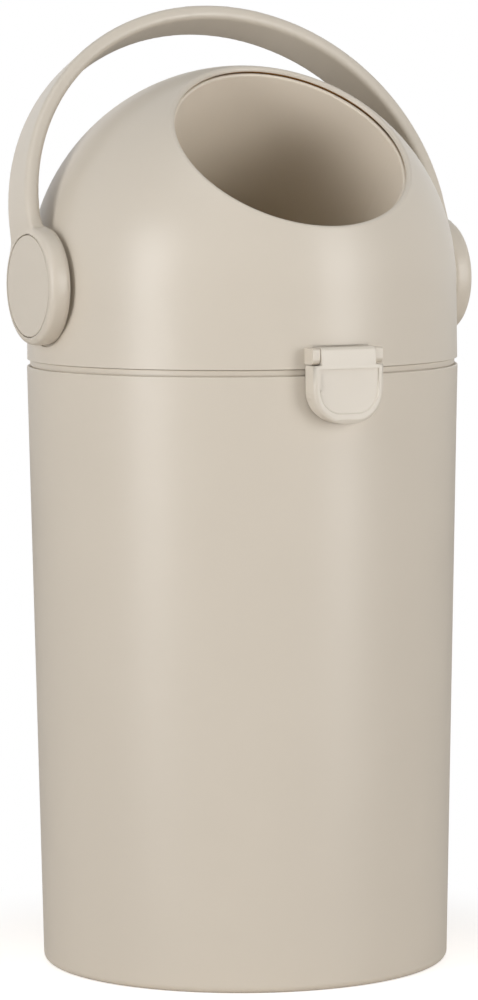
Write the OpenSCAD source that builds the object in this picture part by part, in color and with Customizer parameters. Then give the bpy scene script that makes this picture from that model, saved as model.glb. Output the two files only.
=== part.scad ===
// Nappy bin: a tall tapered bin, a domed lid hinged at the back, and a
// ball-shaped drum inside the dome that is flipped over by the carrying handle.
// The origin is the centre of the base on the floor, the front faces -Y and up is +Z.

/* [Bin body] */
// Height of the bin body up to its rim
body_height = 389.5; // [330:0.5:430]
// Outer radius of the body at its rim
rim_radius = 140; // [139.6:0.1:141]
// How much narrower the radius of the body is at the floor than at its rim
body_taper = 7.7; // [2:0.1:12]
// Wall thickness of the body
body_wall = 2.6; // [2:0.1:3]
// Radius of the rounded bottom edge
base_fillet = 4.5; // [2:0.5:7]
// Width of the ring that the bin stands on
foot_width = 9; // [5:1:15]
// How far the floor of the bin is raised inside the standing ring
base_recess = 4; // [2:0.5:8]

/* [Bag ring] */
// Height of the ring that shows between body and lid
ring_reveal = 4.1; // [3:0.1:6]
// How far the face of the ring sits back from the rim
ring_inset = 2; // [1.5:0.1:2.2]
// How far the skirt of the ring reaches down into the body
ring_skirt = 28; // [15:1:40]
// Wall thickness of the ring's skirt
ring_wall = 2.3; // [1.8:0.1:3]

/* [Dome] */
// How far the dome sits back from the rim of the body
dome_inset = 0.75; // [0.4:0.05:1]
// How much wider the lower edge of the dome is than the dome itself
dome_flare = 0.55; // [0.3:0.05:0.8]
// Height of the dome's skirt below the handle axis
skirt_height = 49.6; // [46:0.2:54]
// Wall thickness of the dome
dome_wall = 2.6; // [2.3:0.1:2.8]
// Gap between the lid and the bag ring
seam_gap = 0.3; // [0.2:0.05:0.5]

/* [Mouth] */
// Angle of the mouth's axis above the horizontal
mouth_tilt = 50.6; // [44:0.2:56]
// Radius of the mouth in the dome
mouth_radius = 76.5; // [70:0.5:78]
// Radius of the rounded edge of the mouth
mouth_round = 2.4; // [0.8:0.1:3]
// How far the turned-in lip stands inside the dome's wall
lip_depth = 0.9; // [0.3:0.1:1.2]
// Width of the turned-in lip
lip_width = 3; // [2:0.5:5]

/* [Drum] */
// Clearance between the drum and the inside of the dome
drum_gap = 2.15; // [1.9:0.05:2.4]
// Wall thickness of the drum's two halves
drum_wall = 2.4; // [2:0.1:3]
// How much is cut off the ball of the drum at each of its flat ends
drum_end_cut = 3.5; // [3:0.5:4.5]
// Radius of the cup at its mouth
cup_mouth_radius = 75.5; // [70:0.5:76]
// Radius of the cup at its rounded bottom
cup_bottom_radius = 70; // [60:1:72]
// Distance from the handle axis back to the centre of the cup's rounded bottom
cup_reach = 40; // [30:1:45]
// Wall thickness of the cup
cup_wall = 2.2; // [1.8:0.1:3]
// Radius of the rounded rim of the cup
cup_round = 1.3; // [1:0.1:3]
// Width of the cup's rim over the wall of the drum
cup_rim_width = 6; // [5:0.5:8]

/* [Drop passage] */
// Radius of the hole that the nappy drops through
throat_radius = 78; // [75:0.5:80]
// Clearance between the drum and the cradle under it
cradle_gap = 0.9; // [0.7:0.1:1.2]
// Wall thickness of the cradle
cradle_wall = 2.2; // [1.8:0.1:2.6]
// Width of the two odour seals
seal_width = 9; // [6:0.5:11]
// Thickness of the two odour seals
seal_thickness = 1.7; // [1.3:0.1:1.8]
// Clearance between the seals and the drum
seal_gap = 0.3; // [0.25:0.05:0.4]

/* [Handle] */
// Angle that the handle leans back at rest
handle_lean = 20.2; // [10:0.2:26]
// Angle that the handle flips through
flip_angle = 118; // [110:1:120]
// Height of the centres of the two side arcs above the handle axis
arch_height = 38; // [34:0.2:42]
// Distance from the middle of the bin to the centres of the two side arcs
side_centre = 5.7; // [3:0.1:12]
// How far the flatter arc at the top rises over the side arcs
arch_crown = 1.4; // [0.6:0.1:4]
// Width of the handle
handle_width = 34.6; // [28:0.2:38]
// Thickness of the handle
handle_thickness = 9.5; // [8:0.1:10.5]
// Radius of the handle's rounded edges
handle_round = 3.2; // [1.5:0.1:3.8]
// Radius of the hub discs
hub_radius = 37.8; // [36:0.2:40]
// Thickness of the hubs over their flat seats in the dome
hub_depth = 13.7; // [12.1:0.1:14.1]
// Radius of the hub's rounded outer edge
hub_round = 4.4; // [2:0.2:4.8]
// Radius of the caps on the hubs
cap_radius = 32.4; // [28:0.2:32.6]
// Thickness of the caps
cap_thickness = 3.2; // [2.4:0.2:4]
// Radius of the shaft that turns in the bushes
shaft_radius = 16; // [14:0.5:17]
// Side of the square end of the shaft
square_side = 18; // [14:0.5:19]

/* [Latch] */
// Width of the latch
latch_width = 49; // [44:0.5:54]
// Height of the latch from its lowest point to its top
latch_height = 48.6; // [44:0.2:52]
// Height of the latch pin above the handle-side edge of the dome
latch_pin_rise = 8.1; // [7:0.1:9]
// How far the front of the latch stands out from the rim of the body
latch_depth = 11; // [10.5:0.1:12.5]
// Wall thickness of the latch
latch_wall = 2.3; // [1.8:0.1:2.8]
// Depth of the dish in the face of the latch
dish_depth = 0.9; // [0.6:0.1:1.3]
// Width of each ear that carries the latch pin
ear_width = 5.2; // [4:0.2:6]
// Radius of the latch pin
latch_pin_radius = 1.5; // [1.2:0.1:1.8]

/* [Lid hinge] */
// Distance from the rim of the body back to the hinge pin
hinge_offset = 6.5; // [6:0.1:8]
// Height of the hinge pin above the rim of the body
hinge_rise = 2.2; // [1.8:0.1:2.6]
// Radius of the hinge pin
hinge_pin_radius = 2; // [1.5:0.1:2.2]
// Radius of the hinge knuckles
knuckle_radius = 4.5; // [4.3:0.1:5]
// Half the width of the lid's knuckle
knuckle_half = 17; // [12:0.5:24]
// Width of each lug on the body
lug_width = 8; // [6:0.5:12]

/* [Hidden] */
$fn = 96;

// Clearances
pin_fit = 0.06;        // a pin that turns in its bore
fixed_fit = 0.03;      // a pin or sleeve that is pressed into its bore
shaft_fit = 0.05;      // the handle's shaft in its bush
slip = 0.3;            // pieces that are seated loosely
side_play = 0.4;       // along the handle axis, on each side
reach = 400;           // longer than any cut has to be

// Heights, and the radius of the body at the floor
base_radius = rim_radius - body_taper;
dome_edge_z = body_height + ring_reveal + seam_gap;
axis_z = dome_edge_z + skirt_height;

// Spheres about the middle of the handle axis
dome_radius = rim_radius - dome_inset;
dome_inner = dome_radius - dome_wall;
drum_radius = dome_inner - drum_gap;
drum_half_width = drum_radius - drum_end_cut;
drum_inner = drum_radius - drum_wall;
cradle_inner = drum_radius + cradle_gap;
cradle_outer = cradle_inner + cradle_wall;
seal_face = drum_radius + seal_gap;
seal_back = seal_face + seal_thickness;

throat_tilt = mouth_tilt - flip_angle;

shell_colour = [0.80, 0.76, 0.70];
inner_colour = [0.72, 0.68, 0.62];
rubber_colour = [0.35, 0.34, 0.33];
steel_colour = [0.62, 0.63, 0.65];
latch_colour = [0.83, 0.79, 0.73];

// ---------------------------------------------------------------- helpers

// Points of an arc, anticlockwise from angle a0 to a1
function arc(centre, r, a0, a1, steps = 8) =
    [for (i = [0:steps]) let (a = a0 + (a1 - a0) * i / steps) centre + r * [cos(a), sin(a)]];

// Turns local +Z to point out along the mouth or the throat
module about_axis(tilt) {
    translate([0, 0, axis_z]) rotate([90 - tilt, 0, 0]) children();
}

// A ring of a spherical shell round the mouth or the throat
module shell_ring(tilt, shell_in, shell_out, ring_in, ring_out) {
    difference() {
        intersection() {
            translate([0, 0, axis_z]) sphere(r = shell_out);
            about_axis(tilt) translate([0, 0, shell_in / 2]) cylinder(r = ring_out, h = shell_out);
        }
        translate([0, 0, axis_z]) sphere(r = shell_in);
        about_axis(tilt) cylinder(r = ring_in, h = reach);
    }
}

// What is cut away to round the edge where a bore meets a sphere
module edge_round(sphere_r, bore_r, round_r) {
    centre_r = bore_r + round_r;
    centre_z = sqrt(pow(sphere_r - round_r, 2) - pow(centre_r, 2));
    touch = [centre_r, centre_z] * sphere_r / (sphere_r - round_r);
    rotate_extrude() difference() {
        polygon([
            [bore_r - 1, centre_z], [centre_r, centre_z], touch, touch * 1.02,
            [bore_r - 1, touch.y * 1.04]
        ]);
        translate([centre_r, centre_z]) circle(r = round_r);
    }
}

// Places a piece that is drawn along +Z on the handle axis, on the left (-1) or the right (1);
// its local +X points down
module on_side(side) {
    mirror([side < 0 ? 1 : 0, 0, 0]) translate([0, 0, axis_z]) rotate([0, 90, 0]) children();
}

// A cylinder along X, centred on x = 0
module rod_x(y, z, r, length) {
    translate([-length / 2, y, z]) rotate([0, 90, 0]) cylinder(r = r, h = length);
}

// Extrudes a side view, drawn as (y, z), along X between x0 and x1
module side_view(x0, x1) {
    translate([x0, 0, 0]) rotate([90, 0, 90]) linear_extrude(height = x1 - x0) children();
}

// Extrudes a front view, drawn as (x, z), from y0 forwards to y1
module front_view(y0, y1) {
    translate([0, y0, 0]) rotate([90, 0, 0]) linear_extrude(height = y0 - y1) children();
}

module both_sides() {
    children();
    mirror([1, 0, 0]) children();
}

// ---------------------------------------------------------------- bin body

wall_lean = atan((rim_radius - base_radius) / body_height);
rim_round = 0.8;
rim_bead = 1;          // how much thicker the rim is on its inside
rim_bead_height = 5;
inner_fillet = 6;
floor_z = base_recess + body_wall;

hinge_y = rim_radius + hinge_offset;
hinge_z = body_height + hinge_rise;
stop_gap = 0.2;        // between the barrel of the lid's knuckle and the shelf under it
shelf_thickness = 2.5;
shelf_reach = 8;       // how far the shelf reaches behind the hinge pin
lug_foot = 26;         // how far the lugs run down the body, below the hinge pin
lug_slope = 8;         // where their slope begins

latch_front = -(rim_radius + latch_depth);
catch_z = dome_edge_z - 24;
catch_height = 6;
catch_reach = 2.7;
catch_half_width = 9;
catch_plate = 1.2;
catch_peg = 2;
catch_peg_x = 5;

function body_r(z) = base_radius + (rim_radius - base_radius) * z / body_height;

module body_shell() {
    fillet_r = body_r(base_fillet) - base_fillet / cos(wall_lean);
    foot_r = fillet_r - foot_width;
    floor_r = body_r(floor_z + inner_fillet) - body_wall - inner_fillet;
    bead_z = body_height - rim_bead_height;
    rotate_extrude() polygon(concat(
        [[foot_r, 0]],
        arc([fillet_r, base_fillet], base_fillet, -90, -wall_lean),
        arc([rim_radius - rim_round, body_height - rim_round], rim_round, 0, 90, 4),
        [
            [rim_radius - body_wall - rim_bead, body_height],
            [rim_radius - body_wall - rim_bead, bead_z],
            [body_r(bead_z - 2) - body_wall, bead_z - 2]
        ],
        arc([floor_r, floor_z + inner_fillet], inner_fillet, 0, -90),
        [[0, floor_z], [0, base_recess], [foot_r - base_recess / 2, base_recess]]
    ));
}

// Two lugs at the back that hold the hinge pin, and the shelf that stops the open lid
module hinge_lugs() {
    in_wall = rim_radius - body_wall - 0.9;
    lug_end = hinge_y + knuckle_radius;
    difference() {
        union() {
            both_sides() side_view(knuckle_half + slip, knuckle_half + slip + lug_width) {
                translate([hinge_y, hinge_z]) circle(r = knuckle_radius);
                polygon([
                    [in_wall, hinge_z - lug_foot], [lug_end, hinge_z - lug_slope],
                    [lug_end, hinge_z],
                    [hinge_y - knuckle_radius, hinge_z], [rim_radius, body_height - rim_round],
                    [in_wall, body_height - rim_round]
                ]);
            }
            shelf_z = hinge_z - knuckle_radius - stop_gap - shelf_thickness;
            side_view(-knuckle_half - 1, knuckle_half + 1) polygon([
                [in_wall + 1.5, shelf_z - 8], [hinge_y + shelf_reach, shelf_z],
                [hinge_y + shelf_reach, shelf_z + shelf_thickness],
                [in_wall + 1.5, shelf_z + shelf_thickness]
            ]);
        }
        rod_x(hinge_y, hinge_z, hinge_pin_radius + fixed_fit, reach);
    }
}

// The two pegs that hold the catch in the wall, or their holes when grown
module catch_pegs(grow) {
    for (side = [-1, 1]) front_view(-(body_r(catch_z) - body_wall) - 0.3, -body_r(catch_z) - 0.6)
        translate([side * catch_peg_x, catch_z]) circle(r = catch_peg + grow);
}

// The catch on the front that the latch snaps over: a curved plate with a nose and two pegs
module latch_catch() {
    low = catch_z - catch_height / 2 - 1.5;
    high = catch_z + catch_height / 2 + 3.5;
    tip = -(rim_radius + catch_reach);
    color(shell_colour) {
        intersection() {
            rotate_extrude() polygon([
                [body_r(low) + 0.05, low], [body_r(low) + catch_plate, low],
                [body_r(high) + catch_plate, high], [body_r(high) + 0.05, high]
            ]);
            translate([-catch_half_width, -reach, 0]) cube([2 * catch_half_width, reach, reach * 2]);
        }
        side_view(1 - catch_half_width, catch_half_width - 1) polygon([
            [-body_r(catch_z) - 0.7, catch_z - catch_height / 2], [tip, catch_z - 1],
            [tip, catch_z + 1.5], [-body_r(catch_z) - 0.7, catch_z + catch_height / 2 + 2]
        ]);
        catch_pegs(0);
    }
}

module bin_body() {
    color(shell_colour) difference() {
        union() {
            body_shell();
            hinge_lugs();
        }
        catch_pegs(fixed_fit);
    }
}

module hinge_pin() {
    color(steel_colour)
        rod_x(hinge_y, hinge_z, hinge_pin_radius, 2 * (knuckle_half + slip + lug_width) - 0.6);
}

// The ring that clamps the bag: it hangs in the rim of the body
module bag_ring() {
    skirt_r = rim_radius - body_wall - rim_bead - 0.5;
    bore_r = skirt_r - ring_wall;
    top_z = body_height + ring_reveal;
    low_z = body_height - ring_skirt;
    bead = 0.7;
    groove_r = rim_radius - ring_inset - 0.9;   // the shadow groove over the rim of the body
    color(shell_colour) rotate_extrude() polygon(concat(
        [
            [bore_r, low_z], [skirt_r, low_z], [skirt_r + bead, low_z + 2], [skirt_r, low_z + 4],
            [skirt_r, body_height], [groove_r, body_height], [groove_r, body_height + 0.8],
            [rim_radius - ring_inset, body_height + 0.8]
        ],
        arc([rim_radius - ring_inset - 0.5, top_z - 0.5], 0.5, 0, 90, 4),
        [[bore_r, top_z]]
    ));
}

// ---------------------------------------------------------------- dome

hub_sink = 1.35;                        // how far the hub's flat seat is cut into the dome
hub_seat = dome_radius - hub_sink;
hub_face = hub_seat + hub_depth;
seat_clearance = 1.2;
hub_inner = hub_seat + side_play;
bush_flange = 1.7;
bush_wall = 4;
bush_land = drum_half_width + 0.6 + bush_flange;
peg_radius = 2.6;
peg_orbit = (shaft_radius + bush_wall + cap_radius) / 2 + 0.8;
peg_height = 2.6;

latch_pin_y = -(rim_radius + 4.6);
latch_pin_z = dome_edge_z + latch_pin_rise;
ear_radius = 5;         // half the height of an ear
ear_front = 4.4;       // from the latch pin to the front of the ears
ear_round = 1.6;       // upper front edge of the ears
ear_swing = 3.4;       // lower front edge, which the latch swings round
ear_skin = 1.2;        // the latch pin ends this far inside the ears
pocket_depth = 1.4;
shoulder_z = latch_pin_z - ear_radius - 0.6;

flange_z = dome_edge_z + 0.3;
flange_thickness = 4;
flange_radius = dome_radius - dome_wall - 0.2;
screw_inset = 3.65;    // from the inside of the dome to the screws of the cradle
screw_orbit = dome_inner - screw_inset;
pad_radius = 3.7;
pad_height = 4.6;
screw_angles = [45, 135, 225, 315];

// The outside of the dome, or its inside when inset by the wall
module dome_form(inset, low_z) {
    r = dome_radius - inset;
    translate([0, 0, axis_z]) intersection() {
        sphere(r = r);
        translate([-reach / 2, -reach / 2, 0]) cube([reach, reach, reach / 2]);
    }
    flare = dome_flare * (axis_z - low_z) / skirt_height;
    translate([0, 0, low_z]) cylinder(r1 = r + flare, r2 = r, h = axis_z - low_z);
}

// The ears that hold the latch pin
module latch_ears() {
    ear_out = latch_width / 2;
    in_wall = -(dome_radius - dome_wall);
    front = latch_pin_y - ear_front;
    low = latch_pin_z - ear_radius;
    both_sides() side_view(ear_out - ear_width, ear_out) {
        translate([front + ear_swing, low])
            square([in_wall - front - ear_swing + 0.3, 2 * ear_radius]);
        translate([front + ear_round, low + ear_swing])
            square([ear_swing, 2 * ear_radius - ear_swing]);
        translate([front, low + ear_swing])
            square([ear_swing, 2 * ear_radius - ear_swing - ear_round]);
        translate([front + ear_swing, low + ear_swing]) circle(r = ear_swing);
        translate([front + ear_round, low + 2 * ear_radius - ear_round]) circle(r = ear_round);
    }
}

// The middle knuckle of the lid hinge, with its leaf up the back of the dome
module lid_knuckle() {
    barrel = knuckle_radius - 0.3;
    in_wall = dome_radius - dome_wall + 1;
    side_view(-knuckle_half + slip / 2, knuckle_half - slip / 2) {
        translate([hinge_y, hinge_z]) circle(r = barrel);
        polygon([
            [hinge_y - barrel, hinge_z], [hinge_y + 3.6, hinge_z], [hinge_y + 3.6, hinge_z + 8],
            [in_wall, hinge_z + 26], [in_wall, dome_edge_z], [hinge_y - barrel, dome_edge_z]
        ]);
    }
}

module dome_cover() {
    color(shell_colour) difference() {
        union() {
            difference() {
                dome_form(0, dome_edge_z);
                dome_form(dome_wall, dome_edge_z - 1);
            }
            shell_ring(mouth_tilt, dome_inner - lip_depth, dome_radius - 0.5,
                       mouth_radius - 1, mouth_radius + lip_width);
            // bosses inside for the bushes
            for (side = [-1, 1]) on_side(side) translate([0, 0, bush_land])
                cylinder(r = shaft_radius + bush_wall + 5, h = hub_seat - bush_land);
            // pads for the screws that hold the cradle
            for (a = screw_angles) rotate([0, 0, a])
                translate([screw_orbit, 0, flange_z + flange_thickness]) {
                    cylinder(r = pad_radius, h = pad_height);
                    translate([0, -pad_radius, 0])
                        cube([dome_inner + 1 - screw_orbit, 2 * pad_radius, pad_height]);
                }
            latch_ears();
            lid_knuckle();
        }
        about_axis(mouth_tilt) {
            translate([0, 0, dome_radius / 2]) cylinder(r = mouth_radius, h = dome_radius);
            edge_round(dome_radius, mouth_radius, mouth_round);
        }
        for (side = [-1, 1]) on_side(side) difference() {
            union() {
                translate([0, 0, hub_seat])
                    cylinder(r = hub_radius + seat_clearance, h = reach / 8);
                translate([0, 0, hub_seat - 20])
                    cylinder(r = shaft_radius + bush_wall + fixed_fit, h = 25);
            }
            // the peg that stops the handle at both ends of its travel
            translate([peg_orbit, 0, hub_seat - 1]) cylinder(r = peg_radius, h = 1 + peg_height);
        }
        for (a = screw_angles) rotate([0, 0, a]) translate([screw_orbit, 0, 0])
            translate([0, 0, flange_z]) cylinder(r = 1.3, h = flange_thickness + pad_height - 0.8);
        rod_x(latch_pin_y, latch_pin_z, latch_pin_radius + fixed_fit, latch_width - 2 * ear_skin);
        rod_x(hinge_y, hinge_z, hinge_pin_radius + pin_fit, reach);
        // pocket behind the tab of the latch
        translate([-tab_half - 0.3, -(dome_radius - pocket_depth) - 10, latch_pin_z - 5])
            cube([2 * tab_half + 0.6, 10, flap_top + 0.6 - latch_pin_z + 5]);
    }
}

// The bowl under the drum, with the hole that the nappy drops through
module lid_cradle() {
    cradle_top = flange_z + flange_thickness;
    collar_width = seal_width + 1.5;
    color(inner_colour) difference() {
        union() {
            intersection() {
                translate([0, 0, axis_z]) sphere(r = cradle_outer);
                translate([-reach / 2, -reach / 2, 0]) cube([reach, reach, cradle_top]);
            }
            translate([0, 0, flange_z]) cylinder(r = flange_radius, h = flange_thickness);
            shell_ring(throat_tilt, cradle_inner, seal_back + 0.2 + cradle_wall,
                       throat_radius - 1, throat_radius + collar_width);
        }
        translate([0, 0, axis_z]) sphere(r = cradle_inner);
        shell_ring(throat_tilt, cradle_inner - 5, seal_back + 0.2,
                   throat_radius - 2, throat_radius + seal_width + 0.5);
        about_axis(throat_tilt) cylinder(r = throat_radius, h = reach);
        for (a = screw_angles) rotate([0, 0, a]) translate([screw_orbit, 0, flange_z - 1]) {
            cylinder(r = 1.6, h = flange_thickness + 2);
            cylinder(r = 2.9, h = 3);
        }
    }
}

module lid_screws() {
    head = 1.8;
    color(steel_colour) for (a = screw_angles) rotate([0, 0, a])
        translate([screw_orbit, 0, flange_z + 2 - head]) {
            cylinder(r = 2.6, h = head);
            cylinder(r = 1.27, h = flange_thickness - 2 + head + pad_height - 1);
        }
}

// Odour seals: one under the lip of the mouth, one round the drop passage
module mouth_seal() {
    start = mouth_radius + lip_width + 0.4;
    color(rubber_colour)
        shell_ring(mouth_tilt, seal_face, dome_inner - 0.15, start, start + seal_width);
}

module throat_seal() {
    color(rubber_colour)
        shell_ring(throat_tilt, seal_face, seal_back, throat_radius + 0.2,
                   throat_radius + seal_width);
}

// Flanged bushes that the handle's shafts turn in
module bush(side) {
    bore = shaft_radius + shaft_fit;
    sleeve = shaft_radius + bush_wall;
    color(inner_colour) on_side(side) rotate_extrude() polygon([
        [bore, bush_land - bush_flange], [sleeve + 4.5, bush_land - bush_flange],
        [sleeve + 4.5, bush_land], [sleeve, bush_land], [sleeve, hub_seat], [bore, hub_seat]
    ]);
}

module bush_left() { bush(-1); }
module bush_right() { bush(1); }

module latch_pin() {
    color(steel_colour)
        rod_x(latch_pin_y, latch_pin_z, latch_pin_radius, latch_width - 2 * ear_skin - 0.4);
}

// ---------------------------------------------------------------- drum

end_land = drum_half_width - 4;         // inside face of the drum's flat ends
rim_seat = cup_mouth_radius + cup_rim_width;

// The ball of the drum with its flat ends, or the space inside it
module drum_ball(r, half_width) {
    intersection() {
        translate([0, 0, axis_z]) sphere(r = r);
        translate([-half_width, -reach / 2, axis_z - reach / 2])
            cube([2 * half_width, reach, reach]);
    }
}

// A slice of a ball between two planes square to the mouth's axis
module tongue_band(r, low, high) {
    intersection() {
        translate([0, 0, axis_z]) sphere(r = r);
        about_axis(mouth_tilt) translate([-reach / 2, -reach / 2, low])
            cube([reach, reach, high - low]);
    }
}

// One half of the drum: front is the half with the mouth
module drum_half(front) {
    tongue = 5;
    tongue_end = 16;                    // the tongue stops this far from the flat ends
    difference() {
        union() {
            intersection() {
                difference() {
                    drum_ball(drum_radius, drum_half_width);
                    drum_ball(drum_inner, end_land);
                }
                about_axis(mouth_tilt) translate([-reach / 2, -reach / 2, front ? 0 : -reach])
                    cube([reach, reach, reach]);
            }
            // a tongue on the back half locates the front half
            if (!front) intersection() {
                difference() {
                    union() {
                        tongue_band(drum_inner - 0.1, -0.5, tongue);
                        tongue_band(drum_inner + 0.5, -tongue, 0);
                    }
                    translate([0, 0, axis_z]) sphere(r = drum_inner - 0.1 - drum_wall);
                }
                translate([tongue_end - end_land, -reach / 2, 0])
                    cube([2 * (end_land - tongue_end), reach, 2 * reach]);
            }
        }
        if (front) about_axis(mouth_tilt) cylinder(r = rim_seat + 0.2, h = reach);
        for (side = [-1, 1]) on_side(side)
            translate([0, 0, end_land - 2]) cylinder(r = shaft_radius + slip, h = 10);
    }
}

module drum_front_half() { color(inner_colour) drum_half(true); }
module drum_back_half() { color(inner_colour) drum_half(false); }

// Half of the cup's section, grown by the wall on its outside
module cup_section(grow) {
    slope_top = cup_mouth_radius + grow;
    intersection() {
        union() {
            translate([0, -cup_reach]) circle(r = cup_bottom_radius + grow);
            polygon([
                [0, -cup_reach], [cup_bottom_radius + grow, -cup_reach],
                [slope_top, drum_radius * 0.83], [slope_top, drum_radius], [0, drum_radius]
            ]);
        }
        translate([0, -reach]) square([reach, 2 * reach]);
    }
}

// The cup that takes the nappy, its rim seated in the front half of the drum
module drum_cup() {
    step = drum_inner - 0.2;            // the wide step of the rim lies inside the drum
    color(shell_colour) about_axis(mouth_tilt) difference() {
        rotate_extrude() difference() {
            union() {
                intersection() {
                    cup_section(cup_wall);
                    circle(r = drum_radius);
                }
                difference() {
                    intersection() {
                        circle(r = drum_radius);
                        translate([cup_mouth_radius, 0]) square([cup_rim_width, reach]);
                    }
                    circle(r = step - drum_wall);
                }
                difference() {
                    intersection() {
                        circle(r = step);
                        translate([cup_mouth_radius, 0]) square([cup_rim_width + 6, reach]);
                    }
                    circle(r = step - drum_wall);
                }
            }
            cup_section(0);
        }
        edge_round(drum_radius, cup_mouth_radius, cup_round);
    }
}

// Drive hubs: they clamp the two halves of the drum and take the handle's square ends
drive_disc = 7;
drive_nose = 10;
drive_flange = 14;     // how far the disc reaches past the shaft
nose_radius = 12;
screw_reach = 15;      // from the drum's flat end in to the tip of the hub screw
square_end = end_land - drive_disc + 0.4;

module drive_hub(side) {
    socket = square_side + slip;
    nose_end = end_land - drive_disc - drive_nose;
    color(inner_colour) on_side(side) rotate([0, 0, -handle_lean]) difference() {
        union() {
            translate([0, 0, end_land - drive_disc])
                cylinder(r = shaft_radius + drive_flange, h = drive_disc);
            translate([0, 0, nose_end]) cylinder(r = nose_radius, h = drive_nose);
        }
        translate([-socket / 2, -socket / 2, end_land - drive_disc])
            cube([socket, socket, drive_disc + 1]);
        translate([0, 0, nose_end - 1]) cylinder(r = screw_radius + 0.05, h = drive_nose + 2);
    }
}

module drive_hub_left() { drive_hub(-1); }
module drive_hub_right() { drive_hub(1); }

// ---------------------------------------------------------------- handle

recess_floor = hub_face - cap_thickness - 0.1;
recess_radius = cap_radius + 0.3;
head_room = 4.3;       // depth of the counterbore for the screw's head
head_radius = 6;
head_floor = recess_floor - head_room;
screw_radius = 2.5;
web_round = 12;

// The arch follows three arcs that run smoothly into each other: two at the sides, one on top
side_arc = hub_face - 0.1 - side_centre;
top_arc = side_arc + (pow(side_centre, 2) + pow(arch_crown, 2)) / (2 * arch_crown);
top_centre = arch_height + side_arc + arch_crown - top_arc;
meet_angle = atan2(arch_height - top_centre, side_centre);

// The handle's section with its outer face at a radius, grown a little where arcs overlap
module handle_section(r, grow) {
    e = handle_round;
    deep = handle_thickness + 2 * grow;
    wide = handle_width + 2 * grow;
    translate([r + grow - deep, -wide / 2]) {
        translate([e, 0]) square([deep - 2 * e, wide]);
        translate([0, e]) square([deep, wide - 2 * e]);
        for (x = [e, deep - e], y = [e, wide - e]) translate([x, y]) circle(r = e);
    }
}

// Sweeps the section round one arc of the arch, from angle a0 to a1
module arch_sweep(x, z, r, a0, a1, grow) {
    translate([x, 0, z]) rotate([90, 0, 0]) rotate([0, 0, a0])
        rotate_extrude(angle = a1 - a0) handle_section(r, grow);
}

module handle_arch() {
    // the arch starts just clear of the cap, inside the hub disc
    foot_angle = asin((recess_radius + 0.7 - arch_height) / side_arc);
    both_sides() arch_sweep(side_centre, arch_height, side_arc, foot_angle, meet_angle, 0);
    arch_sweep(0, top_centre, top_arc, meet_angle - 0.5, 180.5 - meet_angle, 0.05);
}

// Webs that blend the handle's edges into the hub disc, drawn with local +X down
module hub_web() {
    half = handle_width / 2;
    end_r = hub_radius - 0.15;          // the web runs out just inside the rim of the disc
    centre = [half + web_round,
              sqrt(pow(end_r + web_round, 2) - pow(half + web_round, 2))];
    touch = centre * end_r / (end_r + web_round);
    difference() {
        polygon([
            [0, hub_radius / 2], [0, centre.y - 4], [half - 0.2, centre.y - 4],
            [half - 0.2, centre.y], [centre.x, centre.y], touch
        ]);
        translate(centre) circle(r = web_round);
    }
}

// One hub of the handle: disc, shaft and square end, drawn along +Z
module handle_hub() {
    difference() {
        union() {
            rotate_extrude() polygon(concat(
                [[0, hub_inner], [hub_radius - 1, hub_inner], [hub_radius, hub_inner + 1]],
                arc([hub_radius - hub_round, hub_face - hub_round], hub_round, 0, 90, 10),
                [[0, hub_face]]
            ));
            translate([0, 0, end_land + 0.3])
                cylinder(r = shaft_radius, h = hub_inner - end_land + 1);
            translate([-square_side / 2, -square_side / 2, square_end])
                cube([square_side, square_side, hub_inner - square_end]);
            translate([0, 0, hub_face - handle_thickness])
                linear_extrude(height = handle_thickness - 0.6)
                    rotate([0, 0, 90]) { hub_web(); mirror([1, 0, 0]) hub_web(); }
        }
        // the stop slot belongs to the dome's frame, which the hub leans back from
        rotate([0, 0, handle_lean]) stop_slot();
        // seat of the cap, counterbore and bore of the screw
        translate([0, 0, recess_floor]) cylinder(r = recess_radius, h = 10);
        translate([0, 0, head_floor]) cylinder(r = head_radius + 1, h = 10);
        translate([0, 0, square_end - 1]) cylinder(r = screw_radius + 0.2, h = reach / 4);
    }
}

// The curved slot in the hub that the peg of the dome runs in
module stop_slot() {
    slot_half = peg_radius + 0.4;
    depth = peg_height + 0.6;
    translate([0, 0, hub_inner - 1]) {
        rotate([0, 0, -flip_angle]) rotate_extrude(angle = flip_angle)
            translate([peg_orbit - slot_half, 0]) square([2 * slot_half, 1 + depth - side_play]);
        for (a = [0, -flip_angle]) rotate([0, 0, a]) translate([peg_orbit, 0, 0])
            cylinder(r = slot_half + 0.3, h = 1.2 + depth - side_play);
    }
}

module handle() {
    color(shell_colour) {
        translate([0, 0, axis_z]) rotate([-handle_lean, 0, 0]) handle_arch();
        for (side = [-1, 1]) on_side(side) rotate([0, 0, -handle_lean]) handle_hub();
    }
}

// Caps that cover the hub screws
module hub_cap(side) {
    edge = 0.7;
    base = recess_floor + 0.1;
    color(shell_colour) on_side(side) rotate_extrude() polygon(concat(
        [[0, base], [cap_radius, base]],
        arc([cap_radius - edge, hub_face - edge], edge, 0, 90, 4),
        [[0, hub_face]]
    ));
}

module hub_cap_left() { hub_cap(-1); }
module hub_cap_right() { hub_cap(1); }

module hub_screws() {
    head = 3;
    tip = end_land - screw_reach;
    color(steel_colour) for (side = [-1, 1]) on_side(side) {
        translate([0, 0, head_floor]) cylinder(r = head_radius, h = head);
        translate([0, 0, tip]) cylinder(r = screw_radius, h = head_floor - tip + 1);
    }
}

// ---------------------------------------------------------------- latch

flap_low = latch_pin_z + 6 - latch_height;
flap_top = latch_pin_z + 5.8;
crease_z = dome_edge_z + 0.3;
flap_back = rim_radius + 0.8;           // radius of the hollow back that clears the bin
tab_half = latch_width / 2 - ear_width - 0.4;
side_round = 19;
low_round = 30;

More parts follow.
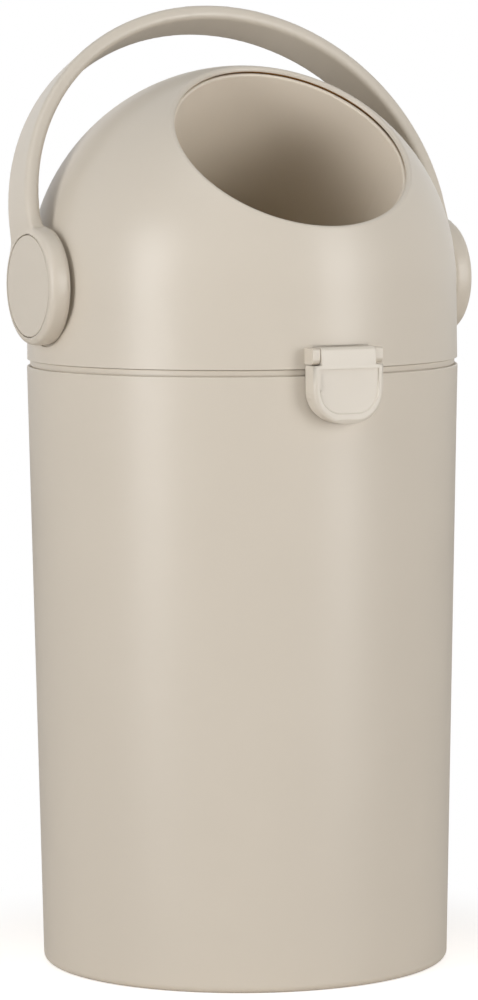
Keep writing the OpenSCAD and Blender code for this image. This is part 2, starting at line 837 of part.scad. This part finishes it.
// Outline of the latch: straight sides, round corners and a rounded lower edge
module flap_outline(inset) {
    half = latch_width / 2 - inset;
    low = flap_low + inset;
    r = side_round - inset;
    big = low_round - inset;
    // angle at which the corner arc runs into the lower arc
    turn = asin((half - r) / (big - r));
    corner = [half - r, low + big - (big - r) * cos(turn)];
    polygon(concat(
        arc([0, low + big], big, -90 - turn, -90 + turn, 12),
        arc(corner, r, -90 + turn, 0, 6),
        [[half, flap_top + 10], [-half, flap_top + 10]],
        arc([-corner.x, corner.y], r, -180, -90 - turn, 6)
    ));
}

// Side view of the latch: a flat face up to the crease, then a tab that leans back
module flap_side() {
    polygon(concat(
        [[latch_front + 1.5, flap_low - 1], [latch_front, flap_low + 3], [latch_front, crease_z]],
        arc([latch_front + 4.4, flap_top - 3], 3, 170, 110, 5),
        [
            [latch_pin_y + 3.1, latch_pin_z + 5.4], [latch_pin_y + 3.7, latch_pin_z + 4.6],
            [latch_pin_y + 3.7, latch_pin_z - 2], [latch_pin_y + 2, shoulder_z],
            [0, shoulder_z], [0, flap_low - 1]
        ]
    ));
}

module latch_flap() {
    hollow_front = latch_front + latch_wall + dish_depth;
    hollow_top = shoulder_z - 2;
    hook_z = catch_z;
    hook_tip = -(rim_radius + catch_reach + 1);
    color(latch_colour) difference() {
        union() {
            difference() {
                intersection() {
                    front_view(0, latch_front - 1) flap_outline(0);
                    side_view(-latch_width, latch_width) flap_side();
                }
                cylinder(r = flap_back, h = shoulder_z + 1);
                // hollow behind the face
                intersection() {
                    front_view(0, hollow_front) flap_outline(latch_wall);
                    translate([-latch_width, -reach, 0]) cube([2 * latch_width, reach, hollow_top]);
                }
                // dish in the face, below the crease
                intersection() {
                    front_view(latch_front + dish_depth, latch_front - 1) flap_outline(3.6);
                    translate([-latch_width, -reach, 0])
                        cube([2 * latch_width, reach, crease_z - 0.6]);
                }
                // room for the ears beside the tab
                both_sides() translate([tab_half, -reach, shoulder_z])
                    cube([latch_width, reach, 20]);
            }
            rod_x(latch_pin_y, latch_pin_z, 4.2, 2 * tab_half);
            // bar that snaps over the nose on the body
            translate([-catch_half_width, hollow_front - 0.5, hook_z - 1])
                cube([2 * catch_half_width, hook_tip - hollow_front + 0.5, 2.4]);
        }
        rod_x(latch_pin_y, latch_pin_z, latch_pin_radius + pin_fit, reach);
    }
}

bin_body();
latch_catch();
bag_ring();
hinge_pin();
dome_cover();
lid_cradle();
mouth_seal();
throat_seal();
bush_left();
bush_right();
lid_screws();
latch_pin();
drum_front_half();
drum_back_half();
drum_cup();
drive_hub_left();
drive_hub_right();
handle();
hub_cap_left();
hub_cap_right();
hub_screws();
latch_flap();
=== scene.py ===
# %% [markdown]
# Dressing a nappy bin for its portrait
#
# The real object is a tall tapered bin of one sand-coloured plastic. A domed lid with a
# round mouth sits on it, a cup inside the dome takes the nappy, and a carrying handle that
# is fixed to the cup's drum flips it over. The solids come from a CAD model and already
# have the right sizes, so this script only gives them light, colour and surface, and
# remakes in Blender the few pieces whose softness needs more than a solid.

# %% Tools and the fixed frame
import math

import bpy
import bmesh
from mathutils import Matrix, Vector


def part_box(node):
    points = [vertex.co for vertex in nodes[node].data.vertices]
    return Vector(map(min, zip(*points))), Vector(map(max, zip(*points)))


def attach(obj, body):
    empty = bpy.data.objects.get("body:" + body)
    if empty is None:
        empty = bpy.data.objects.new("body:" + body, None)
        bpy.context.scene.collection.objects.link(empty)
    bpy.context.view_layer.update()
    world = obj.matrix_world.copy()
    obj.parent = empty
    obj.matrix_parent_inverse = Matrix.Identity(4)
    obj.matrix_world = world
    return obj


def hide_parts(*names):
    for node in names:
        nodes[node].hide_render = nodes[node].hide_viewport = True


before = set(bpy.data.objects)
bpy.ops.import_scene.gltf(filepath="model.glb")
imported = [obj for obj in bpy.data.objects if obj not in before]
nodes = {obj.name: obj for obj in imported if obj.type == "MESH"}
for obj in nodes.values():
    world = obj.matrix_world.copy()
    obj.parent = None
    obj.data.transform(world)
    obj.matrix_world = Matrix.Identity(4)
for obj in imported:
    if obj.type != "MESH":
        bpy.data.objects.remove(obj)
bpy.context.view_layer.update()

# %% [markdown]
# Every length below is written in millimetres, because that is how the object is measured,
# and MM turns it into Blender's metres. The handle turns about an axis along X that lies
# AXIS_Z above the floor, and the front of the bin looks along -Y.

# %% Sizes that several pieces share
MM = 0.001
AXIS_Z = 443.5


def rgb(hex_code):
    """Turns an sRGB hex colour into the linear numbers that shaders use."""
    parts = [int(hex_code[i:i + 2], 16) / 255 for i in (1, 3, 5)]
    return [p / 12.92 if p <= 0.04045 else ((p + 0.055) / 1.055) ** 2.4 for p in parts] + [1]


# %% [markdown]
# The camera stands almost three metres away with a long lens, a little to the left of the
# bin's front and about as high as its dome, so the sides stay nearly parallel. It is
# placed by three angles: how far round it stands, how far it looks down, and a small roll.
# The lens shift is only what keeps the bin in the middle of the frame.

# %% Camera
CAMERA_AROUND = math.radians(26.2)
CAMERA_DOWN = math.radians(5.06)
CAMERA_ROLL = math.radians(-0.31)
CAMERA_DISTANCE = 2941
CAMERA_HEIGHT = 567.7

camera_data = bpy.data.cameras.new("camera")
camera = bpy.data.objects.new("camera", camera_data)
bpy.context.scene.collection.objects.link(camera)
bpy.context.scene.camera = camera
camera_data.sensor_width = 36
camera_data.lens = 162.9
camera_data.shift_x = -0.0039
camera_data.shift_y = -0.0106
camera_data.clip_start = 0.1
camera_data.clip_end = 20

forward = Vector((math.sin(CAMERA_AROUND) * math.cos(CAMERA_DOWN),
                  math.cos(CAMERA_AROUND) * math.cos(CAMERA_DOWN), -math.sin(CAMERA_DOWN)))
level_right = Vector((math.cos(CAMERA_AROUND), -math.sin(CAMERA_AROUND), 0))
right = (level_right * math.cos(CAMERA_ROLL)
         + level_right.cross(forward) * math.sin(CAMERA_ROLL))
up = right.cross(forward)
camera.matrix_world = Matrix((
    (right.x, up.x, -forward.x, -CAMERA_DISTANCE * MM * math.sin(CAMERA_AROUND)),
    (right.y, up.y, -forward.y, -CAMERA_DISTANCE * MM * math.cos(CAMERA_AROUND)),
    (right.z, up.z, -forward.z, CAMERA_HEIGHT * MM),
    (0, 0, 0, 1)))
print("camera at", [round(v, 3) for v in camera.location])

# %% [markdown]
# Materials are built from nodes. One small function adds a node, sets what is given by
# name on the node itself, and fills its inputs: a node's output is linked, a plain value
# is typed in. Everything else is ordinary Blender.

# %% A node helper and a blank material


def add_node(tree, kind, inputs=None, **settings):
    """Adds one node, sets its settings and fills or links its inputs."""
    node = tree.nodes.new(kind)
    for name, value in settings.items():
        setattr(node, name, value)
    for name, value in (inputs or {}).items():
        if isinstance(value, bpy.types.NodeSocket):
            tree.links.new(value, node.inputs[name])
        else:
            node.inputs[name].default_value = value
    return node


def blank_material(name):
    """Returns a material whose node tree is empty, and the tree."""
    material = bpy.data.materials.new(name)
    material.use_nodes = True
    material.node_tree.nodes.clear()
    return material, material.node_tree


def per_metre(size_mm):
    """The scale of a noise pattern whose blotches are about size_mm wide."""
    return 1000 / size_mm


# %% [markdown]
# The shell is injection-moulded polypropylene with a fine spark-eroded grain. The grain
# scatters the light, so the eye sees a satin surface with long soft highlights, and only at
# a steep angle a slightly brighter edge. Three patterns do that: the grain as a shallow
# bump, slow changes in roughness where hands and cloths have polished it, and a very faint
# drift in colour. The real grain is about 0.15 mm wide, which would vanish in the picture,
# so it is drawn at 0.9 mm.
#
# The cup is moulded from the same plastic. Its colour carries painted shade: it runs from a
# lighter tone at the rim to a darker, warmer one at the bottom, measured along the axis of the
# mouth, in place of the light that falls deep into the cup and comes back warmer and weaker.

# %% Moulded plastic
GRAIN = 0.9
GRAIN_DEPTH = 0.018
POLISH_PATCH = 46
POLISH_SWING = 0.035
COLOUR_PATCH = 90
COLOUR_DRIFT = 0.018
MOUTH_TILT = math.radians(50.6)
CUP_RIM = 95
CUP_BOTTOM = -70


def mix_colours(tree, factor, first, second):
    """Blends two colours by a factor and returns the blended colour."""
    mix = add_node(tree, "ShaderNodeMix", data_type="RGBA")
    tree.links.new(factor, mix.inputs[0])
    mix.inputs[6].default_value = first
    mix.inputs[7].default_value = second
    return mix.outputs[2]


def drifting_colour(tree, where, hex_code):
    """One colour that drifts very little from patch to patch."""
    patch = add_node(tree, "ShaderNodeTexNoise",
                     {"Vector": where, "Scale": per_metre(COLOUR_PATCH), "Detail": 2.0})
    base = rgb(hex_code)[:3]
    return mix_colours(tree, patch.outputs["Fac"],
                       [part * (1 - COLOUR_DRIFT) for part in base] + [1],
                       [part * (1 + COLOUR_DRIFT) for part in base] + [1])


def painted_shade_down_the_cup(tree, where, painted_light_rim_hex, painted_shade_bottom_hex):
    """Painted shade: a colour that runs from lighter at the rim of the cup to darker at its
    bottom, along the mouth's axis.
    """
    from_middle = add_node(tree, "ShaderNodeVectorMath", {"Vector": where},
                           operation="SUBTRACT")
    from_middle.inputs[1].default_value = (0, 0, AXIS_Z * MM)
    along = add_node(tree, "ShaderNodeVectorMath", {"Vector": from_middle.outputs["Vector"]},
                     operation="DOT_PRODUCT")
    along.inputs[1].default_value = (0, -math.cos(MOUTH_TILT), math.sin(MOUTH_TILT))
    height = add_node(tree, "ShaderNodeMapRange",
                      {"Value": along.outputs["Value"], "From Min": CUP_BOTTOM * MM,
                       "From Max": CUP_RIM * MM})
    return mix_colours(tree, height.outputs["Result"], rgb(painted_shade_bottom_hex), rgb(painted_light_rim_hex))


def moulded_plastic(name, hex_code, roughness, grain_depth=GRAIN_DEPTH, painted_shade_bottom_hex=None):
    """Satin moulded plastic with grain and polish, in one colour or with painted shade darkening
    the bottom.
    """
    material, tree = blank_material(name)
    where = add_node(tree, "ShaderNodeTexCoord").outputs["Object"]
    fine = add_node(tree, "ShaderNodeTexNoise",
                    {"Vector": where, "Scale": per_metre(GRAIN), "Detail": 2.0,
                     "Roughness": 0.55})
    bump = add_node(tree, "ShaderNodeBump",
                    {"Height": fine.outputs["Fac"], "Strength": 0.6,
                     "Distance": grain_depth * MM})
    polish = add_node(tree, "ShaderNodeTexNoise",
                      {"Vector": where, "Scale": per_metre(POLISH_PATCH), "Detail": 3.0})
    rough = add_node(tree, "ShaderNodeMapRange",
                     {"Value": polish.outputs["Fac"], "From Min": 0.3, "From Max": 0.7,
                      "To Min": roughness - POLISH_SWING, "To Max": roughness + POLISH_SWING})
    # with a bottom colour, the colour is painted shade that darkens down the cup
    if painted_shade_bottom_hex:
        colour = painted_shade_down_the_cup(tree, where, hex_code, painted_shade_bottom_hex)
    else:
        colour = drifting_colour(tree, where, hex_code)
    surface = add_node(tree, "ShaderNodeBsdfPrincipled",
                       {"Base Color": colour, "Roughness": rough.outputs["Result"],
                        "Normal": bump.outputs["Normal"], "IOR": 1.49})
    add_node(tree, "ShaderNodeOutputMaterial", {"Surface": surface.outputs["BSDF"]})
    return material


shell_plastic = moulded_plastic("sand_polypropylene", "#D6CDBF", 0.36)
# the cup's colour is painted shade: lighter at the rim, darker and warmer at the bottom
cup_plastic_with_painted_shade = moulded_plastic("sand_polypropylene_cup_painted_shade", "#EADFCF", 0.42, painted_shade_bottom_hex="#B1A38B")
latch_plastic = moulded_plastic("sand_polypropylene_latch", "#DAD2C5", 0.36)
inner_plastic = moulded_plastic("sand_polypropylene_inner", "#C9BFAF", 0.55,
                                grain_depth=0.03)

# %% [markdown]
# The odour seals are thermoplastic rubber: matt, slightly dusty, with a soft grain. Their warm
# orange-tan is painted shade, in place of the dim, warm light bounced round the gap at the
# mouth. The screws and pins are zinc-plated steel, a metal, so its colour comes from the
# reflection.
# They were turned on a lathe, which leaves fine rings, drawn here as a stretched noise.

# %% Rubber and steel
DUST = 1.5
TURNED_RING = 1.2


def rubber_tinted_as_gap_shade(name):
    """Matt rubber with a dusty grain, tinted warm orange-tan as painted shade for the gap at the
    mouth.
    """
    material, tree = blank_material(name)
    where = add_node(tree, "ShaderNodeTexCoord").outputs["Object"]
    dust = add_node(tree, "ShaderNodeTexNoise",
                    {"Vector": where, "Scale": per_metre(DUST), "Detail": 4.0})
    bump = add_node(tree, "ShaderNodeBump",
                    {"Height": dust.outputs["Fac"], "Strength": 0.5, "Distance": 0.05 * MM})
    # the warm orange-tan is painted shade: dim, warm bounced light in the gap round the mouth
    colour = mix_colours(tree, dust.outputs["Fac"], rgb("#A87232"), rgb("#BC8A48"))
    surface = add_node(tree, "ShaderNodeBsdfPrincipled",
                       {"Base Color": colour, "Normal": bump.outputs["Normal"],
                        "Roughness": 0.72, "IOR": 1.52})
    add_node(tree, "ShaderNodeOutputMaterial", {"Surface": surface.outputs["BSDF"]})
    return material


def zinc_plated_steel(name):
    """Turned steel with a thin zinc coat."""
    material, tree = blank_material(name)
    where = add_node(tree, "ShaderNodeTexCoord").outputs["Object"]
    stretched = add_node(tree, "ShaderNodeMapping",
                         {"Vector": where, "Scale": (6.0, 1.0, 1.0)})
    rings = add_node(tree, "ShaderNodeTexNoise",
                     {"Vector": stretched.outputs["Vector"], "Scale": per_metre(TURNED_RING),
                      "Detail": 2.0})
    rough = add_node(tree, "ShaderNodeMapRange",
                     {"Value": rings.outputs["Fac"], "To Min": 0.26, "To Max": 0.44})
    surface = add_node(tree, "ShaderNodeBsdfPrincipled",
                       {"Base Color": rgb("#C3C5C8"), "Metallic": 1.0,
                        "Roughness": rough.outputs["Result"]})
    add_node(tree, "ShaderNodeOutputMaterial", {"Surface": surface.outputs["BSDF"]})
    return material


seal_rubber = rubber_tinted_as_gap_shade("thermoplastic_rubber_tinted_as_gap_shade")
pin_steel = zinc_plated_steel("zinc_plated_steel")

# %% [markdown]
# The handle of the real bin is one moulding, in which the flat bow runs into the round hub
# without an edge. A solid made of arcs and discs can only come near to that. So the handle
# is taken from the CAD solid, the seats of the caps are plugged, the corner in front of the
# bow is cut back to the edge of the disc, and a fine voxel remesh with some smoothing melts
# bow and disc together. The seats are cut again afterwards, because their edges are crisp.
# The shaft and the inside of the hub keep the CAD shape.

# %% Helpers for pieces that start from a solid
ROD_SEGMENTS = 160
SHARP_ANGLE = math.radians(35)


def copy_of_node(name):
    """A bmesh copy of a CAD node with its loose triangles merged."""
    solid = bmesh.new()
    solid.from_mesh(nodes[name].data)
    bmesh.ops.remove_doubles(solid, verts=solid.verts, dist=0.002 * MM)
    return solid


def add_rod(solid, radius, x0, x1):
    """Adds a round rod on the handle's axis, from x0 to x1."""
    place = (Matrix.Translation(((x0 + x1) / 2 * MM, 0, AXIS_Z * MM))
             @ Matrix.Rotation(math.pi / 2, 4, "Y"))
    bmesh.ops.create_cone(solid, cap_ends=True, segments=ROD_SEGMENTS, radius1=radius * MM,
                          radius2=radius * MM, depth=abs(x1 - x0) * MM, matrix=place)


def make_object(name, solid):
    """Turns a bmesh into an object in the scene."""
    mesh = bpy.data.meshes.new(name)
    solid.to_mesh(mesh)
    solid.free()
    piece = bpy.data.objects.new(name, mesh)
    bpy.context.scene.collection.objects.link(piece)
    return piece


def add_modifier(piece, kind, **settings):
    """Adds a modifier, sets it and applies it to the mesh straight away."""
    modifier = piece.modifiers.new(kind.lower(), kind)
    for name, value in settings.items():
        setattr(modifier, name, value)
    tree = bpy.context.evaluated_depsgraph_get()
    mesh = bpy.data.meshes.new_from_object(piece.evaluated_get(tree))
    piece.modifiers.clear()
    piece.data = mesh


def carve(piece, tool, operation="DIFFERENCE"):
    """Cuts a piece with a tool object, or joins or trims it, and removes the tool."""
    add_modifier(piece, "BOOLEAN", object=tool, operation=operation, solver="EXACT")
    bpy.data.objects.remove(tool)


def finish_piece(piece, body, material):
    """Gives a finished piece its material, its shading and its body."""
    piece.data.materials.clear()
    piece.data.materials.append(material)
    for face in piece.data.polygons:
        face.material_index = 0
        face.use_smooth = True
    piece.data.set_sharp_from_angle(angle=SHARP_ANGLE)
    add_modifier(piece, "WEIGHTED_NORMAL", keep_sharp=True)
    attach(piece, body)
    print(piece.name, "has", sum(len(f.vertices) - 2 for f in piece.data.polygons),
          "triangles")


# %% The handle, melted into one form
HUB_FACE = 151.6
HUB_INNER = 138.3
HUB_RADIUS = 37.8
HUB_RIM_ROLL = 1.6      # what is left of the hub's rounded outer edge before it is melted
SEAT_RADIUS = 32.85
SEAT_DEPTH = 3.3
PLUG_LAP = 0.6
PLUG_DEPTH = 9
HANDLE_LEAN = math.radians(20.2)
BOW_HALF = 17.35
BLOCK_SIZE = Vector((14, 24, 36))
BLOCK_OUT = 147.1       # middle of the block along the axis
BLOCK_UP = 42           # middle of the block above the axis, measured along the bow
INSIDE_REACH = 75       # how far inwards the shaft and its square end are kept
INSIDE_LAP = 0.2        # how far the kept inside overlaps the melted form
VOXEL = 1.05
MELT_STEPS = 7


def corner_block(side):
    """The corner between the front edge of the bow and the round edge of the hub."""
    place = (Matrix.Translation((0, 0, AXIS_Z * MM)) @ Matrix.Rotation(-HANDLE_LEAN, 4, "X")
             @ Matrix.Translation(Vector((side * BLOCK_OUT, -(BOW_HALF + BLOCK_SIZE.y / 2),
                                          BLOCK_UP)) * MM))
    solid = bmesh.new()
    bmesh.ops.create_cube(solid, size=1,
                          matrix=place @ Matrix.Diagonal((*(BLOCK_SIZE * MM), 1)))
    block = make_object("corner_block", solid)
    disc = bmesh.new()
    add_rod(disc, HUB_RADIUS, side * (HUB_FACE - 20), side * (HUB_FACE + 5))
    carve(block, make_object("corner_disc", disc))
    return block


form = copy_of_node("handle")
for side in (-1, 1):
    add_rod(form, SEAT_RADIUS + PLUG_LAP, side * (HUB_FACE - PLUG_DEPTH), side * HUB_FACE)
    add_rod(form, HUB_RADIUS - 0.3, side * (HUB_FACE - PLUG_DEPTH - 1),
            side * (HUB_FACE - HUB_RIM_ROLL))
handle = make_object("carrying_handle", form)
add_modifier(handle, "REMESH", mode="VOXEL", voxel_size=VOXEL * MM, adaptivity=0.0)
for side in (-1, 1):
    carve(handle, corner_block(side))
add_modifier(handle, "REMESH", mode="VOXEL", voxel_size=VOXEL * MM, adaptivity=0.0)
add_modifier(handle, "SMOOTH", factor=0.5, iterations=MELT_STEPS)

# the seats of the caps are cut again, and the blurred inside of the hubs is cut away
tools = bmesh.new()
for side in (-1, 1):
    add_rod(tools, SEAT_RADIUS, side * (HUB_FACE - SEAT_DEPTH), side * (HUB_FACE + 3))
    add_rod(tools, HUB_RADIUS - 0.9, side * (HUB_INNER - INSIDE_REACH + 5),
            side * (HUB_INNER + 5))
carve(handle, make_object("hub_cutters", tools))

# the crisp inside of the hubs comes from the solid and fills that space
inside = make_object("hub_insides", copy_of_node("handle"))
keep = bmesh.new()
for side in (-1, 1):
    add_rod(keep, HUB_RADIUS - 0.9 + INSIDE_LAP, side * (HUB_INNER - INSIDE_REACH),
            side * (HUB_INNER + 5 + 2 * INSIDE_LAP))
carve(inside, make_object("hub_keeper", keep), "INTERSECT")
both_parts = bmesh.new()
both_parts.from_mesh(handle.data)
both_parts.from_mesh(inside.data)
bpy.data.objects.remove(inside)
bmesh.ops.recalc_face_normals(both_parts, faces=both_parts.faces)
both_parts.to_mesh(handle.data)
both_parts.free()
finish_piece(handle, "drum", shell_plastic)
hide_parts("handle")

# %% [markdown]
# The latch is a small moulded flap with a shallow dish for the thumb. Everything on it is
# rounded: the outline is a D, the front edge rolls over and the dish has no hard corner.
# A flat plate with the D outline is extruded and its front edge is bevelled. A second, smaller
# D with a bevelled floor is cut out of it as the dish. That soft form then trims a copy of
# the CAD flap, whose own plain dish is filled first, and which brings the tab, the hollow
# back and the snap bar.

# %% The latch
flap_low, flap_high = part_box("latch_flap")
LATCH_FRONT = flap_low[1] / MM
LATCH_HALF = flap_high[0] / MM
LATCH_LOW = flap_low[2] / MM
CREASE_Z = 394.5
D_CORNER = 21.5
EDGE_ROLL = 2.4
DISH_SINK = 0.9
DISH_BORDER = 3.7
DISH_CORNER = 15
DISH_RISE = 6.3
DISH_ROLL = 1.6
DISH_TOP = CREASE_Z - 0.4
FILL_INSET = 3
FILL_DEPTH = 1.9
FORM_DEPTH = 16
FORM_ABOVE_CREASE = 30
CUT_DEPTH = 8
SAME_PLACE = 1e-6       # in metres


def d_plate(half, low, high, corner, y):
    """A flat plate with two straight sides, seen from the front, whose lower end is a D."""
    plate = bmesh.new()
    ends = [plate.verts.new((x * MM, y * MM, z * MM))
            for x, z in ((-half, low), (half, low), (half, high), (-half, high))]
    plate.faces.new(ends)
    bmesh.ops.bevel(plate, geom=ends[:2], offset=corner * MM, segments=24, profile=0.5,
                    affect="VERTICES", material=-1)
    return plate


def extrude_back(plate, depth):
    """Gives a plate thickness towards the bin, or to the front if the depth is negative."""
    made = bmesh.ops.extrude_face_region(plate, geom=plate.faces[:])
    moved = [v for v in made["geom"] if isinstance(v, bmesh.types.BMVert)]
    bmesh.ops.translate(plate, verts=moved, vec=(0, depth * MM, 0))
    bmesh.ops.recalc_face_normals(plate, faces=plate.faces)


def edges_at(plate, y):
    """The edges of a plate that lie in the plane at y."""
    return [edge for edge in plate.edges
            if all(abs(vert.co.y - y * MM) < SAME_PLACE for vert in edge.verts)]


def roll_edges(plate, edges, radius):
    """Rounds some edges of a plate."""
    bmesh.ops.bevel(plate, geom=edges, offset=radius * MM, segments=6, profile=0.5,
                    affect="EDGES", material=-1)


outer = d_plate(LATCH_HALF, LATCH_LOW, CREASE_Z + FORM_ABOVE_CREASE, D_CORNER, LATCH_FRONT)
extrude_back(outer, FORM_DEPTH)
roll_edges(outer, edges_at(outer, LATCH_FRONT), EDGE_ROLL)
soft_form = make_object("latch_form", outer)

dish = d_plate(LATCH_HALF - DISH_BORDER, LATCH_LOW + DISH_RISE, DISH_TOP, DISH_CORNER,
               LATCH_FRONT + DISH_SINK)
extrude_back(dish, -CUT_DEPTH)
# the edge along the crease stays sharp
below_crease = [edge for edge in edges_at(dish, LATCH_FRONT + DISH_SINK)
                if max(vert.co.z for vert in edge.verts) < (DISH_TOP - 0.1) * MM]
roll_edges(dish, below_crease, DISH_ROLL)
carve(soft_form, make_object("dish_form", dish))

filler = d_plate(LATCH_HALF - FILL_INSET, LATCH_LOW + FILL_INSET, DISH_TOP - 0.05, DISH_CORNER,
                 LATCH_FRONT)
extrude_back(filler, FILL_DEPTH)
latch = make_object("latch_lever", copy_of_node("latch_flap"))
carve(latch, make_object("dish_filler", filler), "UNION")
carve(latch, soft_form, "INTERSECT")
finish_piece(latch, "latch", latch_plastic)
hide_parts("latch_flap")

# %% [markdown]
# Every other CAD node keeps its mesh and only gets a finish. The dictionary reads like a parts
# list: on the left the finish, on the right the pieces that are moulded from it.

# %% Finishes of the CAD nodes
FINISHES = {
    shell_plastic: ["bin_body", "latch_catch", "bag_ring", "dome_cover", "handle", "hub_cap_left",
                    "hub_cap_right"],
    cup_plastic_with_painted_shade: ["drum_cup"],
    latch_plastic: ["latch_flap"],
    inner_plastic: ["lid_cradle", "bush_left", "bush_right", "drum_front_half",
                    "drum_back_half", "drive_hub_left", "drive_hub_right"],
    seal_rubber: ["mouth_seal", "throat_seal"],
    pin_steel: ["hinge_pin", "lid_screws", "latch_pin", "hub_screws"],
}
for finish, names in FINISHES.items():
    for name in names:
        for slot in nodes[name].material_slots:
            slot.material = finish
print("finished nodes:", sum(len(names) for names in FINISHES.values()))

# %% [markdown]
# The studio is plain: a pale floor that runs out of sight, a tall soft lamp on the left side,
# another at the front on the right, a square one above, and a weak white world that fills the
# shadows. The background is white because the world and the floor are white to the camera,
# not because the lamps are strong. The floor still darkens close to the bin, where the bin
# keeps the light off it.

# %% Floor
FLOOR_NEAR = 150
FLOOR_FAR = 300

floor_mesh = bmesh.new()
bmesh.ops.create_grid(floor_mesh, x_segments=4, y_segments=4, size=6)
floor_data = bpy.data.meshes.new("floor")
floor_mesh.to_mesh(floor_data)
floor_mesh.free()
floor = bpy.data.objects.new("floor", floor_data)
bpy.context.scene.collection.objects.link(floor)

floor_paper, tree = blank_material("white_paper_floor")
path = add_node(tree, "ShaderNodeLightPath")
paper = add_node(tree, "ShaderNodeBsdfDiffuse", {"Color": rgb("#F4EEE8")})
glow = add_node(tree, "ShaderNodeEmission", {"Color": rgb("#FFFFFF"), "Strength": 0.6})
near = add_node(tree, "ShaderNodeAddShader")
tree.links.new(paper.outputs["BSDF"], near.inputs[0])
tree.links.new(glow.outputs["Emission"], near.inputs[1])
place = add_node(tree, "ShaderNodeTexCoord")
from_middle = add_node(tree, "ShaderNodeVectorMath", {"Vector": place.outputs["Object"]},
                       operation="LENGTH")
fade = add_node(tree, "ShaderNodeMapRange",
                {"Value": from_middle.outputs["Value"], "From Min": FLOOR_NEAR * MM,
                 "From Max": FLOOR_FAR * MM},
                interpolation_type="SMOOTHSTEP")
far = add_node(tree, "ShaderNodeEmission", {"Color": rgb("#FFFFFF"), "Strength": 1.0})
sheet = add_node(tree, "ShaderNodeMixShader", {"Fac": fade.outputs["Result"]})
tree.links.new(near.outputs["Shader"], sheet.inputs[1])
tree.links.new(far.outputs["Emission"], sheet.inputs[2])
seen = add_node(tree, "ShaderNodeMixShader", {"Fac": path.outputs["Is Camera Ray"]})
tree.links.new(paper.outputs["BSDF"], seen.inputs[1])
tree.links.new(sheet.outputs["Shader"], seen.inputs[2])
add_node(tree, "ShaderNodeOutputMaterial", {"Surface": seen.outputs["Shader"]})
floor_data.materials.append(floor_paper)

# %% World
FILL_STRENGTH = 0.2
world = bpy.data.worlds.new("studio")
bpy.context.scene.world = world
world.use_nodes = True
tree = world.node_tree
tree.nodes.clear()
path = add_node(tree, "ShaderNodeLightPath")
seen = add_node(tree, "ShaderNodeMath", operation="MAXIMUM")
tree.links.new(path.outputs["Is Camera Ray"], seen.inputs[0])
tree.links.new(path.outputs["Is Transmission Ray"], seen.inputs[1])
mirrored = add_node(tree, "ShaderNodeMath", operation="MAXIMUM")
tree.links.new(seen.outputs["Value"], mirrored.inputs[0])
tree.links.new(path.outputs["Is Glossy Ray"], mirrored.inputs[1])
fill = add_node(tree, "ShaderNodeBackground",
                {"Color": rgb("#FFFFFF"), "Strength": FILL_STRENGTH})
white = add_node(tree, "ShaderNodeBackground", {"Color": rgb("#FFFFFF"), "Strength": 1.0})
mixed = add_node(tree, "ShaderNodeMixShader", {"Fac": mirrored.outputs["Value"]})
tree.links.new(fill.outputs["Background"], mixed.inputs[1])
tree.links.new(white.outputs["Background"], mixed.inputs[2])
add_node(tree, "ShaderNodeOutputWorld", {"Surface": mixed.outputs["Shader"]})

# %% Lamps
LAMPS = {
    # name: (azimuth from the front towards the left, height, distance, width, tall, power)
    "strip_left": (74, 0.6, 2.2, 0.8, 1.7, 27),
    "strip_right": (-28, 0.6, 2.2, 0.8, 1.7, 24.2),
    "top": (40, 2.3, 0.8, 1.4, 1.4, 7.6),
}
for name, (azimuth, height, distance, width, tall, power) in LAMPS.items():
    data = bpy.data.lights.new(name, "AREA")
    data.shape = "RECTANGLE"
    data.size = width
    data.size_y = tall
    data.energy = power
    lamp = bpy.data.objects.new(name, data)
    bpy.context.scene.collection.objects.link(lamp)
    angle = math.radians(azimuth)
    lamp.location = (-distance * math.sin(angle), -distance * math.cos(angle), height)
    aim = Vector((0, 0, 0.32)) - lamp.location
    lamp.rotation_euler = aim.to_track_quat("-Z", "Y").to_euler()

bpy.context.scene.view_settings.view_transform = "Standard"
